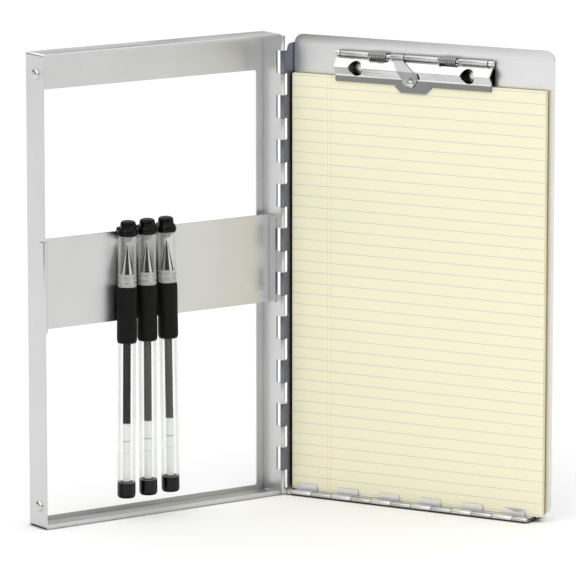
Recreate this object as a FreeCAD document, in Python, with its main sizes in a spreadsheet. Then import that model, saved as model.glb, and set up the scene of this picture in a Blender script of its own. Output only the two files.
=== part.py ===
import FreeCAD, Part
import math
import os
import Sketcher

# Storage clipboard box, standing open like a book.
# Row frame: +Z up, origin in the middle of the tray's underside, the tray's open front towards -Y.
# The tray is drawn with its hinge side wall on x = 0 and its front on y = 0, and moved when it is kept.
# The right leaf is drawn in its own frame (x along the leaf, y backwards, origin on the side hinge)
# and placed by turning it about the side hinge.

V = FreeCAD.Vector
os.makedirs("parts", exist_ok=True)
doc = FreeCAD.newDocument("clipboard_box")
table = doc.addObject("Spreadsheet::Sheet", "Sizes")

SIZES = {
    # sheet metal and the pad that the box is made for
    "wall": 0.8,
    "pad_wide": 152.4,
    "pad_tall": 228.6,
    # tray
    "tray_over_plate": 0.7,
    "tray_past_cover": 3.0,
    "tray_deep": 17.5,
    "set_back": 0.3,
    "tray_bend": 1.2,
    "window_head": 21.0,
    "window_low": 3.0,
    "window_side": 5.1,
    "window_corner": 1.5,
    "hem_deep": 4.0,
    "lip_tall": 2.4,
    "tab_tall": 18.0,
    "tab_near": 2.0,
    "tab_far": 12.5,
    "overrun": 5.0,
    # rivets at the free side corners
    "corner_rivet_y": 7.2,
    "corner_rivet_drop": 11.0,
    "corner_rivet_low": 11.5,
    "corner_rivet_head": 3.15,
    "corner_rivet_rise": 1.6,
    "corner_rivet_shank": 1.5,
    "corner_rivet_tail": 2.5,
    "corner_rivet_tail_rise": 0.8,
    # side hinge
    "hinge_x": 0.5,
    "leaf_turn": -64.54,
    "barrel": 1.3,
    "pin": 0.65,
    "pin_fit": 0.05,
    "notch_deep": 4.0,
    "notch_past": 0.3,
    "notch_corner": 1.0,
    "knuckle_pitch": 24.2,
    "tray_knuckle_foot": 2.6,
    "tray_knuckle_drop": 1.1,
    "cover_knuckle_first": 13.6,
    "cover_knuckle": 12.4,
    "knuckle_gap": 0.2,
    # pen strap, as high as the pens hang
    "strap_tall": 48.3,
    "strap_front": 10.0,
    "strap_tab_near": 4.0,
    "strap_wrap": 6.2,
    "strap_corner": 2.3,
    "strap_bend": 0.6,
    "strap_seat": 0.05,
    # cover shell, leaf frame
    "cover_left": 0.5,
    "plate_past_cover": 9.2,
    "cover_deep": 20.0,
    "cover_drop": 5.6,
    "pan_rim": 10.9,
    "pan_corner": 5.3,
    "pan_bend": 1.5,
    "pan_front_corner": 3.0,
    # bottom hinge, leaf frame
    "low_axis_y": 1.7,
    "low_axis_z": 1.3,
    "low_first": 5.1,
    "low_pitch": 12.25,
    "low_end": 0.6,
    "low_gap": 0.3,
    "low_notch": 4.0,
    "low_notch_past": 1.0,
    "low_relief": 3.5,
    # writing plate, leaf frame
    "plate_left": 1.6,
    "plate_past_pad": 3.5,
    "plate_low": 3.7,
    "plate_over_pad": 21.0,
    "plate_front": 10.0,
    "plate_corner": 5.5,
    "shelf_bend": 1.2,
    "stop_first": 5.7,
    "stop_wide": 12.6,
    "stop_pitch": 25.3,
    "stop_front": 5.6,
    "stop_high": 6.0,
    "stop_corner": 1.0,
    "slot_front": 6.6,
    "slot_back": 9.4,
    # pad, leaf frame
    "pad_left": 2.3,
    "pad_low": 2.7,
    "pad_front": 6.5,
    "pad_sheets": 2.7,
    "pad_board": 0.6,
    # clip, leaf frame: heights are drops from the rod's axis
    "rod_y": 7.25,
    "rod_drop": 8.5,
    "rod": 0.9,
    "rod_fit": 0.05,
    "curl": 1.5,
    "clip_left": 29.3,
    "clip_long": 93.8,
    "end_curl": 2.3,
    "curl_gap": 0.3,
    "rod_head": 1.3,
    "rod_head_rise": 0.5,
    "base_sheet": 0.6,
    "base_drop": 12.0,
    "base_past": 0.7,
    "coil_left_in": 20.1,
    "coil_right_in": 31.6,
    "coil_room": 11.0,
    "jaw_top_y": 7.2,
    "jaw_top_drop": 1.8,
    "jaw_crease_y": 2.7,
    "jaw_crease_drop": 7.0,
    "jaw_edge_y": 5.5,
    "jaw_edge_drop": 10.8,
    "jaw_lip_drop": 14.9,
    "jaw_web": 1.2,
    "jaw_coil_drop": 1.1,
    "tongue_in": 36.3,
    "tongue_wide": 21.6,
    "tongue_drop": 18.7,
    "tongue_taper": 3.3,
    "opening": 4.0,
    "opening_left_in": 12.9,
    "opening_right_in": 13.4,
    "opening_drop": 7.4,
    # lever: distances along the clip are from the tongue's left edge
    "lever_top_back": 3.2,
    "lever_top_wide": 7.9,
    "lever_mid_in": 2.9,
    "lever_mid_wide": 9.9,
    "lever_low_in": 5.1,
    "lever_low_wide": 8.7,
    "lever_top_rise": 0.4,
    "lever_left_drop": 0.4,
    "lever_right_drop": 2.0,
    "lever_mid_drop": 6.9,
    "lever_low_drop": 15.2,
    "lever_corner": 4.0,
    "slit_in": 14.0,
    "slit_wide": 1.0,
    "slit_high_drop": 7.6,
    "slit_low_drop": 11.0,
    "lever_rivet_in": 9.7,
    "lever_rivet_drop": 13.4,
    "lever_rivet_head": 2.3,
    "lever_rivet_rise": 1.5,
    "lever_rivet_shank": 1.2,
    "base_rivet_head": 2.4,
    "base_rivet_rise": 0.9,
    "base_rivet_shank": 1.5,
    # clip springs
    "spring_wire": 0.35,
    "spring_mean": 1.75,
    "spring_pitch": 1.15,
    "spring_curls": 8.0,
    "spring_hook": 0.8,
    "spring_leg": 8.0,
    "spring_touch": 0.05,
    # pens, each in its own frame: origin at the foot, z along the pen
    "pen_foot_z": 10.1,
    "pen_long": 150.0,
    "pen_hang": 6.3,
    "pen_y": 4.2,
    "pen_left_foot": -98.8,
    "pen_left_top": -97.2,
    "pen_middle_foot": -84.7,
    "pen_middle_top": -84.9,
    "pen_right_foot": -70.3,
    "pen_right_top": -72.4,
    "pen_tube": 4.9,
    "pen_bore": 4.1,
    "pen_neck": 4.25,
    "pen_neck_bore": 3.4,
    "pen_neck_step": 1.5,
    "foot_flange": 4.6,
    "foot_rise": 1.2,
    "foot_round": 1.0,
    "foot_plug": 8.8,
    "grip": 5.45,
    "grip_long": 30.0,
    "grip_round": 0.8,
    "neck_past_grip": 1.9,
    "refill": 2.1,
    "refill_past_neck": 4.0,
    "tip_shoulder": 3.95,
    "tip_shoulder_rise": 3.0,
    "tip_point": 1.1,
    "tip_point_rise": 18.0,
    "tip_nib": 0.5,
    "tip_rise": 20.6,
    "cap": 4.9,
    "cap_rim": 5.1,
    "cap_bore": 4.3,
    "cap_long": 27.4,
    "cap_gap": 0.3,
    "cap_rim_tall": 7.1,
    "cap_rim_slope": 0.8,
    "cap_plug_tall": 8.2,
    "cap_plug_deep": 3.3,
    "cap_ring": 5.3,
    "cap_ring_tall": 3.8,
    "cap_dome": 4.3,
    "cap_round": 2.4,
    "clip_wide": 4.0,
    "clip_root_rise": 3.2,
    "clip_leg_long": 36.0,
    "clip_leg_front": 11.1,
    "clip_leg_thick": 1.2,
    "clip_toe_round": 1.2,
}
for row, (name, number) in enumerate(SIZES.items(), 1):
    table.set(f"A{row}", name)
    table.set(f"B{row}", str(number))
    table.setAlias(f"B{row}", name)
doc.recompute()


# A size carries its number and the sheet expression it stands for.
class Size:
    def __init__(self, text, number):
        self.text = text
        self.number = number

    def __add__(self, other):
        return Size(f"({self.text} + {other.text})", self.number + other.number)

    def __sub__(self, other):
        return Size(f"({self.text} - {other.text})", self.number - other.number)

    def __neg__(self):
        return Size(f"(-{self.text})", -self.number)

    def __mul__(self, share):
        return Size(f"({self.text} * {share})", self.number * share)


zero = Size("0", 0.0)


def size(name):
    return Size(f"Sizes.{name}", float(table.get(name)))


s = type("Sheet", (), {name: size(name) for name in SIZES})

half_share = 0.5
# How far the middle of a round corner stands in from the corner, as a share of its radius.
corner_share = 0.293
# A dome's outline: shares of its radius and of its rise.
dome_shares = ((0.0, 1.0), (0.45, 0.93), (0.78, 0.66), (0.96, 0.27))
rivet_tail_share = 0.6

# Heights and widths that follow from the pad, in the tray's drawing frame or the leaf frame.
pad_right = s.pad_left + s.pad_wide
pad_high = s.pad_low + s.pad_tall
plate_right = pad_right + s.plate_past_pad
plate_high = pad_high + s.plate_over_pad
tray_tall = plate_high + s.tray_over_plate
cover_tall = tray_tall - s.cover_drop
cover_right = plate_right - s.plate_past_cover
tray_wide = cover_right + s.tray_past_cover
strap_high = s.pen_foot_z + s.pen_long - s.pen_hang
strap_low = strap_high - s.strap_tall
window_high = tray_tall - s.window_head


def bind(thing, prop, amount):
    thing.setExpression(prop, amount.text)


def move(thing, x, y, z):
    for letter, amount in zip("xyz", (x, y, z)):
        bind(thing, "Placement.Base." + letter, amount)
    return thing


# x, y and z are (low, high) pairs.
def box(name, x, y, z):
    thing = doc.addObject("Part::Box", name)
    for prop, (low, high) in zip(("Length", "Width", "Height"), (x, y, z)):
        bind(thing, prop, high - low)
    return move(thing, x[0], y[0], z[0])


TURNS = {
    "x": FreeCAD.Rotation(V(0, 1, 0), 90),
    "y": FreeCAD.Rotation(V(1, 0, 0), -90),
    "z": FreeCAD.Rotation(),
}


# A round bar along one axis; centre holds the other two coordinates in order.
def bar(name, axis, centre, radius, low, high):
    thing = doc.addObject("Part::Cylinder", name)
    thing.Placement = FreeCAD.Placement(V(), TURNS[axis])
    bind(thing, "Radius", radius)
    bind(thing, "Height", high - low)
    place = list(centre)
    place.insert("xyz".index(axis), low)
    return move(thing, *place)


def join(name, *things):
    if len(things) == 1:
        holder = doc.addObject("Part::Compound", name)
        holder.Links = list(things)
        return holder
    thing = doc.addObject("Part::MultiFuse", name)
    thing.Shapes = list(things)
    thing.Refine = True
    return thing


def cut(name, base, *tools):
    thing = doc.addObject("Part::Cut", name)
    thing.Base = base
    thing.Tool = tools[0] if len(tools) == 1 else join(name + "_tool", *tools)
    thing.Refine = True
    return thing


def shared(name, base, tool):
    thing = doc.addObject("Part::Common", name)
    thing.Base = base
    thing.Tool = tool
    return thing


NEAR = 0.02
AXES = {"x": V(1, 0, 0), "y": V(0, 1, 0), "z": V(0, 0, 1)}


# Numbers of the straight edges along an axis whose middle lies on one of the spots.
def edges(shape, axis, spots):
    found = []
    for number, edge in enumerate(shape.Edges, 1):
        if len(edge.Vertexes) < 2:
            continue
        run = edge.Vertexes[1].Point - edge.Vertexes[0].Point
        if abs(run.dot(AXES[axis])) < run.Length - NEAR:
            continue
        mid = edge.BoundBox.Center
        for spot in spots:
            if all(abs(getattr(mid, key) - amount.number) < NEAR for key, amount in spot.items()):
                found.append(number)
    return found


def rounded(name, base, *groups):
    doc.recompute()
    thing = doc.addObject("Part::Fillet", name)
    thing.Base = base
    listed = []
    for axis, radius, spots in groups:
        numbers = edges(base.Shape, axis, spots)
        if not numbers:
            raise ValueError(f"{name}: no edge along {axis}")
        listed += [(number, radius.number, radius.number) for number in numbers]
    thing.Edges = listed
    return thing


PLANES = {"x": "YZ_Plane", "y": "XZ_Plane", "z": "XY_Plane"}


def flat_sketch(body, axis):
    sketch = body.newObject("Sketcher::SketchObject", body.Name + "_sketch")
    plane = [one for one in body.Origin.OriginFeatures if one.Role == PLANES[axis]][0]
    sketch.AttachmentSupport = [(plane, "")]
    sketch.MapMode = "FlatFace"
    return sketch


def pin_point(sketch, line, x, y):
    for kind, rule, amount in (("DistanceX", -2, x), ("DistanceY", -1, y)):
        if amount.text == "0":
            sketch.addConstraint(Sketcher.Constraint("PointOnObject", line, 1, rule))
            continue
        number = sketch.addConstraint(
            Sketcher.Constraint(kind, -1, 1, line, 1, amount.number))
        sketch.setExpression(f"Constraints[{number}]", amount.text)


def polygon(sketch, points):
    count = len(points)
    for number in range(count):
        here = points[number]
        there = points[(number + 1) % count]
        start = V(here[0].number, here[1].number, 0)
        stop = V(there[0].number, there[1].number, 0)
        sketch.addGeometry(Part.LineSegment(start, stop))
    for number in range(count):
        after = (number + 1) % count
        sketch.addConstraint(Sketcher.Constraint("Coincident", number, 2, after, 1))
    for number, (x, y) in enumerate(points):
        pin_point(sketch, number, x, y)


def raise_pad(body, sketch, axis, low, high):
    offset = -high if axis == "y" else low
    bind(sketch, "AttachmentOffset.Base.z", offset)
    pad = body.newObject("PartDesign::Pad", body.Name + "_pad")
    pad.Profile = sketch
    bind(pad, "Length", high - low)
    body.Tip = pad
    return body


# A straight prism between two heights along an axis.
def prism(name, axis, points, low, high):
    body = doc.addObject("PartDesign::Body", name)
    sketch = flat_sketch(body, axis)
    polygon(sketch, points)
    return raise_pad(body, sketch, axis, low, high)


# A sheet bent along a line of points, with the thickness laid on the line's left (+1) or right (-1).
def bent(name, axis, points, thick, side, low, high):
    body = doc.addObject("PartDesign::Body", name)
    sketch = flat_sketch(body, axis)
    outer = [V(x.number, y.number, 0) for x, y in points]
    runs = [(b - a).normalize() for a, b in zip(outer, outer[1:])]
    normals = [V(-run.y, run.x, 0) * side for run in runs]
    inner = []
    for number, point in enumerate(outer):
        before = normals[max(number - 1, 0)]
        after = normals[min(number, len(normals) - 1)]
        inner.append(point + (before + after) * (thick.number / (1 + before.dot(after))))
    last = len(runs)
    for a, b in zip(outer, outer[1:]):
        sketch.addGeometry(Part.LineSegment(a, b))
    sketch.addGeometry(Part.LineSegment(outer[-1], inner[-1]))
    back = inner[::-1]
    for a, b in zip(back, back[1:]):
        sketch.addGeometry(Part.LineSegment(a, b))
    sketch.addGeometry(Part.LineSegment(inner[0], outer[0]))
    total = last * 2 + 2
    for number in range(total):
        sketch.addConstraint(Sketcher.Constraint("Coincident", number, 2, (number + 1) % total, 1))
    for number, (x, y) in enumerate(points):
        pin_point(sketch, number, x, y)
    for number in range(last):
        inside = total - 2 - number
        sketch.addConstraint(Sketcher.Constraint("Parallel", inside, number))
        mark = sketch.addConstraint(
            Sketcher.Constraint("Distance", inside, 1, number, thick.number))
        sketch.setExpression(f"Constraints[{mark}]", thick.text)
    sketch.addConstraint(Sketcher.Constraint("Perpendicular", last, last - 1))
    sketch.addConstraint(Sketcher.Constraint("Perpendicular", total - 1, 0))
    return raise_pad(body, sketch, axis, low, high)


# A turned piece from (radius, height) points about its own z axis.
def turned(name, points):
    body = doc.addObject("PartDesign::Body", name)
    sketch = flat_sketch(body, "y")
    polygon(sketch, points)
    spin = body.newObject("PartDesign::Revolution", name + "_turn")
    spin.Profile = sketch
    spin.ReferenceAxis = (sketch, ["V_Axis"])
    spin.Angle = 360
    body.Tip = spin
    return body


NODES = {}


def keep(node, thing):
    thing.Label = node
    NODES[node] = thing


# From the drawing frame of the tray to the row frame.
row_x = tray_wide * half_share
row_y = -(s.set_back + s.tray_deep) * half_share


def keep_on_tray(node, thing):
    move(thing, row_x, row_y, zero)
    keep(node, thing)


# The right leaf's pieces turn about the side hinge.
def keep_on_leaf(node, thing):
    turn = FreeCAD.Rotation(V(0, 0, 1), s.leaf_turn.number)
    thing.Placement = FreeCAD.Placement(V(), turn)
    move(thing, row_x + s.hinge_x, row_y, zero)
    keep(node, thing)


# Tray
left = -tray_wide
inner_left = left + s.wall
inner_right = -s.wall
back = s.tray_deep
inner_top = tray_tall - s.wall
outer = box("tray_outer", (left, zero), (s.set_back, back), (zero, tray_tall))
outer = rounded(
    "tray_outer_bends", outer,
    ("z", s.tray_bend, [{"x": left, "y": back}, {"x": zero, "y": back}]),
    ("x", s.tray_bend, [{"y": back, "z": zero}, {"y": back, "z": tray_tall}]),
    ("y", s.tray_bend, [{"x": left, "z": zero}, {"x": left, "z": tray_tall},
                        {"x": zero, "z": zero}, {"x": zero, "z": tray_tall}]))
inner_bend = s.tray_bend - s.wall
inner = box("tray_inner", (inner_left, inner_right), (-s.overrun, back - s.wall), (s.wall, inner_top))
inner = rounded(
    "tray_inner_bends", inner,
    ("y", inner_bend, [{"x": inner_left, "z": s.wall}, {"x": inner_left, "z": inner_top},
                       {"x": inner_right, "z": s.wall}, {"x": inner_right, "z": inner_top}]))
window = box("tray_window", (left + s.window_side, -s.window_side), (s.strap_front, back + s.overrun),
             (s.window_low, window_high))
window = rounded(
    "tray_window_corners", window,
    ("y", s.window_corner, [{"x": x, "z": z} for x in (left + s.window_side, -s.window_side)
                            for z in (s.window_low, window_high)]))
tray = cut("tray_pan", outer, inner, window)
hem = box("tray_hem", (inner_left, inner_right), (s.set_back, s.set_back + s.hem_deep),
          (inner_top - s.wall, inner_top))
lip = box("tray_lip", (inner_left, inner_right), (s.set_back, s.set_back + s.wall), (s.wall, s.lip_tall))
tab_x = (inner_left, inner_left + s.wall)
tab_top = box("tray_tab_top", tab_x, (s.tab_near, s.tab_far), (inner_top - s.tab_tall, inner_top))
tab_foot = box("tray_tab_foot", tab_x, (s.tab_near, s.tab_far), (s.wall, s.wall + s.tab_tall))


# How many pieces of a pattern fit below a limit.
def fitting(limit, first, length, pitch):
    return 1 + int((limit - first - length).number / pitch.number)


cover_spans = []
for count in range(fitting(cover_tall - s.pan_front_corner, s.cover_knuckle_first, s.cover_knuckle,
                           s.knuckle_pitch)):
    low = s.cover_knuckle_first + s.knuckle_pitch * count
    cover_spans.append((low, low + s.cover_knuckle))
tray_knuckle_top = tray_tall - s.tray_knuckle_drop
tray_spans = [(s.tray_knuckle_foot, cover_spans[0][0] - s.knuckle_gap)]
for one, other in zip(cover_spans, cover_spans[1:]):
    tray_spans.append((one[1] + s.knuckle_gap, other[0] - s.knuckle_gap))
tray_spans.append((cover_spans[-1][1] + s.knuckle_gap, tray_knuckle_top))

notches = []
for (_, low), (high, _) in zip(tray_spans, tray_spans[1:]):
    notch = box("tray_notch", (inner_right - s.overrun, s.overrun), (-s.overrun, s.notch_deep), (low, high))
    notches.append(notch)
notches = [
    rounded("tray_notch_corners", notch,
            ("x", s.notch_corner, [{"y": s.notch_deep, "z": low}, {"y": s.notch_deep, "z": high}]))
    for notch, (_, low), (high, _) in zip(notches, tray_spans, tray_spans[1:])]
tray = join("tray_folded", tray, hem, lip, tab_top, tab_foot)
tray = cut("tray_notched", tray, *notches)
curls = []
for low, high in tray_spans:
    curls.append(bar("tray_curl", "z", (s.hinge_x, zero), s.barrel, low, high))
    curls.append(box("tray_web", (-s.wall, zero), (zero, s.set_back + s.wall), (low, high)))
tray = join("tray_curled", tray, *curls)
side_axis = (s.hinge_x, zero)
bores = [bar("tray_bore", "z", side_axis, s.pin + s.pin_fit, tray_spans[1][0], tray_spans[-2][1])]
bores += [bar("tray_press_bore", "z", side_axis, s.pin, low, high)
          for low, high in (tray_spans[0], tray_spans[-1])]
rivet_spots = (tray_tall - s.corner_rivet_drop, s.corner_rivet_low)
for z in rivet_spots:
    bores.append(bar("tray_rivet_bore", "x", (s.corner_rivet_y, z), s.corner_rivet_shank,
                     left - s.overrun, left + s.overrun))
keep_on_tray("tray_frame", cut("tray_frame", tray, *bores))

# Corner rivets: dome, shank and tail turned about the rivet's own axis
two_walls = s.wall + s.wall


# A dome's outline from its crown to its rim, crown down.
def dome(head, rise):
    return [(head * out_share, -(rise * up_share)) for out_share, up_share in dome_shares] + [(head, zero)]


def rivet(name, head, rise, shank, length, tail, tail_rise):
    return turned(name, dome(head, rise) + [
        (shank, zero), (shank, length), (tail, length), (tail, length + tail_rise),
        (zero, length + tail_rise)])


heads = []
for number, z in enumerate(rivet_spots):
    one = rivet(f"corner_rivet_{number}", s.corner_rivet_head, s.corner_rivet_rise,
                s.corner_rivet_shank, two_walls, s.corner_rivet_tail, s.corner_rivet_tail_rise)
    one.Placement = FreeCAD.Placement(V(), TURNS["x"])
    heads.append(move(one, left, s.corner_rivet_y, z))
keep_on_tray("corner_rivets", join("corner_rivets", *heads))

# Side hinge pin, pressed into the two end knuckles
pin = bar("side_pin", "z", side_axis, s.pin, s.tray_knuckle_foot, tray_knuckle_top)
keep_on_tray("side_hinge_pin", join("side_hinge_pin", pin))

# Pen strap, folded round the free side wall
strap_line = [
    (inner_right, s.strap_tab_near),
    (inner_right, s.strap_front + s.wall),
    (inner_left, s.strap_front + s.wall),
    (inner_left, s.set_back),
    (left, s.set_back),
    (left, s.strap_wrap),
]
strap = bent("strap_sheet", "z", strap_line, s.wall, 1, strap_low, strap_high)
doc.recompute()
strap_edges = [
    ("z", s.strap_bend, [{"x": inner_left + s.wall, "y": s.set_back - s.wall},
                         {"x": left - s.wall, "y": s.set_back - s.wall}]),
    ("z", s.strap_bend, [{"x": inner_right, "y": s.strap_front + s.wall},
                         {"x": inner_left, "y": s.strap_front + s.wall}]),
    ("x", s.strap_corner, [{"y": y, "z": z} for y in (s.strap_wrap, s.strap_tab_near)
                           for z in (strap_low, strap_high)]),
]
keep_on_tray("pen_strap", rounded("pen_strap", strap, *strap_edges))

# Cover shell, leaf frame
cover_inner_left = s.cover_left + s.wall
cover_inner_right = cover_right - s.wall
cover_inner_top = cover_tall - s.wall
cover_back = s.cover_deep
outer = box("cover_outer", (s.cover_left, cover_right), (s.set_back, cover_back), (zero, cover_tall))
outer = rounded(
    "cover_outer_bends", outer,
    ("y", s.pan_corner, [{"x": s.cover_left, "z": zero}]),
    ("y", s.tray_bend, [{"x": cover_right, "z": zero}, {"x": cover_right, "z": cover_tall}]),
    ("z", s.pan_bend, [{"x": s.cover_left, "y": cover_back}, {"x": cover_right, "y": cover_back}]),
    ("x", s.pan_bend, [{"y": cover_back, "z": zero}, {"y": cover_back, "z": cover_tall}]))
inner = box("cover_inner", (cover_inner_left, cover_inner_right), (-s.overrun, cover_back - s.wall),
            (s.wall, cover_inner_top))
inner = rounded(
    "cover_inner_bends", inner,
    ("y", s.pan_corner - s.wall, [{"x": cover_inner_left, "z": s.wall}]),
    ("y", inner_bend, [{"x": cover_inner_right, "z": s.wall},
                       {"x": cover_inner_right, "z": cover_inner_top}]))
front = box("cover_front", (cover_inner_left, cover_right + s.overrun), (-s.overrun, s.pan_rim),
            (s.pan_corner, cover_tall + s.overrun))
edge_side = box("cover_front_low", (cover_inner_right, cover_right + s.overrun), (-s.overrun, s.pan_rim),
                (s.wall, cover_tall))
shell = cut("cover_pan", outer, inner, front, edge_side)
side_notches = []
cover_gaps = [(-s.overrun, cover_spans[0][0])]
for one, other in zip(cover_spans, cover_spans[1:]):
    cover_gaps.append((one[1], other[0]))
cover_gaps.append((cover_spans[-1][1], tray_tall + s.overrun))
for low, high in cover_gaps:
    notch = box("cover_notch", (-s.overrun, cover_inner_left + s.notch_past), (-s.overrun, s.notch_deep),
                (low, high))
    side_notches.append(rounded(
        "cover_notch_corners", notch,
        ("x", s.notch_corner, [{"y": s.notch_deep, "z": low}, {"y": s.notch_deep, "z": high}])))

low_last = cover_right - s.low_end
low_count = round((low_last - s.low_first).number / s.low_pitch.number)
low_starts = [s.low_first + s.low_pitch * count for count in range(low_count)]
low_ends = [start - s.low_gap for start in low_starts[1:]] + [low_last]
low_spans = list(zip(low_starts, low_ends))
plate_spans = low_spans[0::2]
shell_spans = low_spans[1::2]
low_axis = (s.low_axis_y, s.low_axis_z)
low_edge = box("cover_low_edge", (s.low_first - s.low_gap, low_last + s.low_gap),
               (-s.overrun, s.low_axis_y), (-s.overrun, s.wall + s.overrun))
low_notches = []
for low, high in plate_spans:
    low_notches.append(box("cover_low_notch", (low - s.low_gap, high + s.low_gap),
                           (-s.overrun, s.low_notch), (-s.overrun, s.wall + s.low_notch_past)))
shell = cut("cover_notched", shell, low_edge, *side_notches, *low_notches)
shell = rounded("cover_front_corner", shell,
                ("x", s.pan_front_corner, [{"y": s.notch_deep, "z": cover_tall}]))
curls = []
for low, high in cover_spans:
    curls.append(bar("cover_curl", "z", (zero, zero), s.barrel, low, high))
    curls.append(box("cover_web", (s.cover_left, cover_inner_left), (zero, s.set_back + s.wall), (low, high)))
for low, high in shell_spans:
    curls.append(bar("cover_low_curl", "x", low_axis, s.barrel, low, high))
shell = join("cover_curled", shell, *curls)
side_bore = bar("cover_bore", "z", (zero, zero), s.pin + s.pin_fit, zero, tray_tall)
low_bore = bar("cover_low_bore", "x", low_axis, s.pin, s.low_first, low_last)
keep_on_leaf("cover_shell", cut("cover_shell", shell, side_bore, low_bore))

# Bottom hinge pin, pressed into the cover's knuckles, leaf frame
pin = bar("low_pin", "x", low_axis, s.pin, s.low_first, low_last)
keep_on_leaf("bottom_hinge_pin", join("bottom_hinge_pin", pin))

# Writing plate, leaf frame
plate_back = s.plate_front + s.wall
shelf_low = s.low_axis_z + s.barrel - s.wall
shelf_high = s.low_axis_z + s.barrel
sheet = box("plate_sheet", (s.plate_left, plate_right), (s.plate_front, plate_back),
            (s.plate_low, plate_high))
sheet = rounded(
    "plate_corners", sheet,
    ("y", s.plate_corner, [{"x": x, "z": z} for x in (s.plate_left, plate_right)
                           for z in (s.plate_low, plate_high)]))
shelf = bent("plate_shelf", "x", [
    (s.low_axis_y, shelf_low), (plate_back, shelf_low), (plate_back, s.plate_low + s.plate_corner)],
    s.wall, 1, s.low_first, low_last)
shelf = rounded(
    "plate_shelf_bend", shelf,
    ("x", s.shelf_bend, [{"y": plate_back, "z": shelf_low}]),
    ("x", s.shelf_bend - s.wall, [{"y": s.plate_front, "z": shelf_high}]))
stops = []
slots = []
for count in range(fitting(low_last, s.stop_first, s.stop_wide, s.stop_pitch)):
    low = s.stop_first + s.stop_pitch * count
    high = low + s.stop_wide
    tab = box("plate_stop", (low, high), (s.stop_front, s.stop_front + s.wall), (shelf_low, s.stop_high))
    stops.append(rounded(
        "plate_stop_corners", tab,
        ("y", s.stop_corner, [{"x": low, "z": s.stop_high}, {"x": high, "z": s.stop_high}])))
    slots.append(box("plate_slot", (low, high), (s.slot_front, s.slot_back),
                     (shelf_low - s.low_gap, shelf_high + s.low_gap)))
reliefs = []
for low, high in shell_spans:
    reliefs.append(box("plate_relief", (low - s.low_gap, high + s.low_gap), (-s.overrun, s.low_relief),
                       (-s.overrun, s.overrun)))
plate = cut("plate_cut", join("plate_joined", sheet, shelf), *slots, *reliefs)
curls = [bar("plate_curl", "x", low_axis, s.barrel, low, high) for low, high in plate_spans]
plate = join("plate_curled", plate, *stops, *curls)
rod_z = plate_high - s.rod_drop
clip_right = s.clip_left + s.clip_long
opening_z = rod_z - s.opening_drop
openings = (s.clip_left + s.opening_left_in, clip_right - s.opening_right_in)
bores = [bar("plate_bore", "x", low_axis, s.pin + s.pin_fit, s.low_first - s.overrun, low_last + s.overrun)]
for x in openings:
    bores.append(bar("plate_rivet_bore", "y", (x, opening_z), s.base_rivet_shank,
                     s.plate_front - s.overrun, plate_back + s.overrun))
keep_on_leaf("writing_plate", cut("writing_plate", plate, *bores))

# Pad, leaf frame
sheets_back = s.pad_front + s.pad_sheets
pad_face = [(s.pad_left, s.pad_low), (pad_right, s.pad_low), (pad_right, pad_high), (s.pad_left, pad_high)]
keep_on_leaf("pad_sheets", prism("pad_sheets", "y", pad_face, s.pad_front, sheets_back))
keep_on_leaf("pad_backing", prism("pad_backing", "y", pad_face, sheets_back, sheets_back + s.pad_board))

# Clip base, leaf frame
rod_axis = (s.rod_y, rod_z)
base_top = rod_z + s.curl
base_low = rod_z - s.base_drop
base_right = clip_right + s.base_past
base_line = [
    (s.plate_front, base_low), (s.plate_front, base_top), (s.rod_y, base_top)]
base = bent("base_sheet_bent", "x", base_line, s.base_sheet, 1, s.clip_left, base_right)
coil_starts = (s.clip_left + s.coil_left_in, clip_right - s.coil_right_in)
coil_spans = [(start, start + s.coil_room) for start in coil_starts]
tongue_left = s.clip_left + s.tongue_in
lever_top_left = tongue_left - s.lever_top_back
lever_top_right = lever_top_left + s.lever_top_wide
left_curl = (s.clip_left, s.clip_left + s.end_curl)
right_curl = (clip_right - s.end_curl, clip_right)
lever_span = (lever_top_left, lever_top_right)
base_spans = [
    (left_curl[1] + s.curl_gap, coil_spans[0][0] - s.curl_gap),
    (lever_span[1] + s.curl_gap, coil_spans[1][0] - s.curl_gap),
    (coil_spans[1][1] + s.curl_gap, right_curl[0] - s.curl_gap),
]
open_spans = [
    (s.clip_left - s.overrun, left_curl[1] + s.curl_gap),
    (coil_spans[0][0] - s.curl_gap, lever_span[1] + s.curl_gap),
    (coil_spans[1][0] - s.curl_gap, coil_spans[1][1] + s.curl_gap),
    (right_curl[0] - s.curl_gap, base_right + s.overrun),
]
base_front = s.plate_front - s.base_sheet
base_cuts = [box("base_open", span, (-s.overrun, base_front), (base_low, base_top + s.overrun))
             for span in open_spans]
base = cut("base_cut", base, *base_cuts)
curls = [bar("base_curl", "x", rod_axis, s.curl, low, high) for low, high in base_spans]
base = join("base_curled", base, *curls)
bores = [bar("base_bore", "x", rod_axis, s.rod, s.clip_left, base_right)]
for x in openings:
    bores.append(bar("base_rivet_bore", "y", (x, opening_z), s.base_rivet_shank,
                     base_front - s.overrun, s.plate_front + s.overrun))
keep_on_leaf("clip_base", cut("clip_base", base, *bores))

heads = []
for number, x in enumerate(openings):
    one = rivet(f"base_rivet_{number}", s.base_rivet_head, s.base_rivet_rise, s.base_rivet_shank,
                s.base_sheet + s.wall, s.base_rivet_head, s.base_rivet_rise * rivet_tail_share)
    one.Placement = FreeCAD.Placement(V(), TURNS["y"])
    heads.append(move(one, x, base_front, opening_z))
keep_on_leaf("clip_base_rivets", join("clip_base_rivets", *heads))

rod_parts = [bar("rod", "x", rod_axis, s.rod, s.clip_left, clip_right)]
rod_parts.append(bar("rod_left", "x", rod_axis, s.rod_head, s.clip_left - s.rod_head_rise, s.clip_left))
rod_parts.append(bar("rod_right", "x", rod_axis, s.rod_head, clip_right, clip_right + s.rod_head_rise))
keep_on_leaf("clip_rod", join("clip_rod", *rod_parts))

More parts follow.
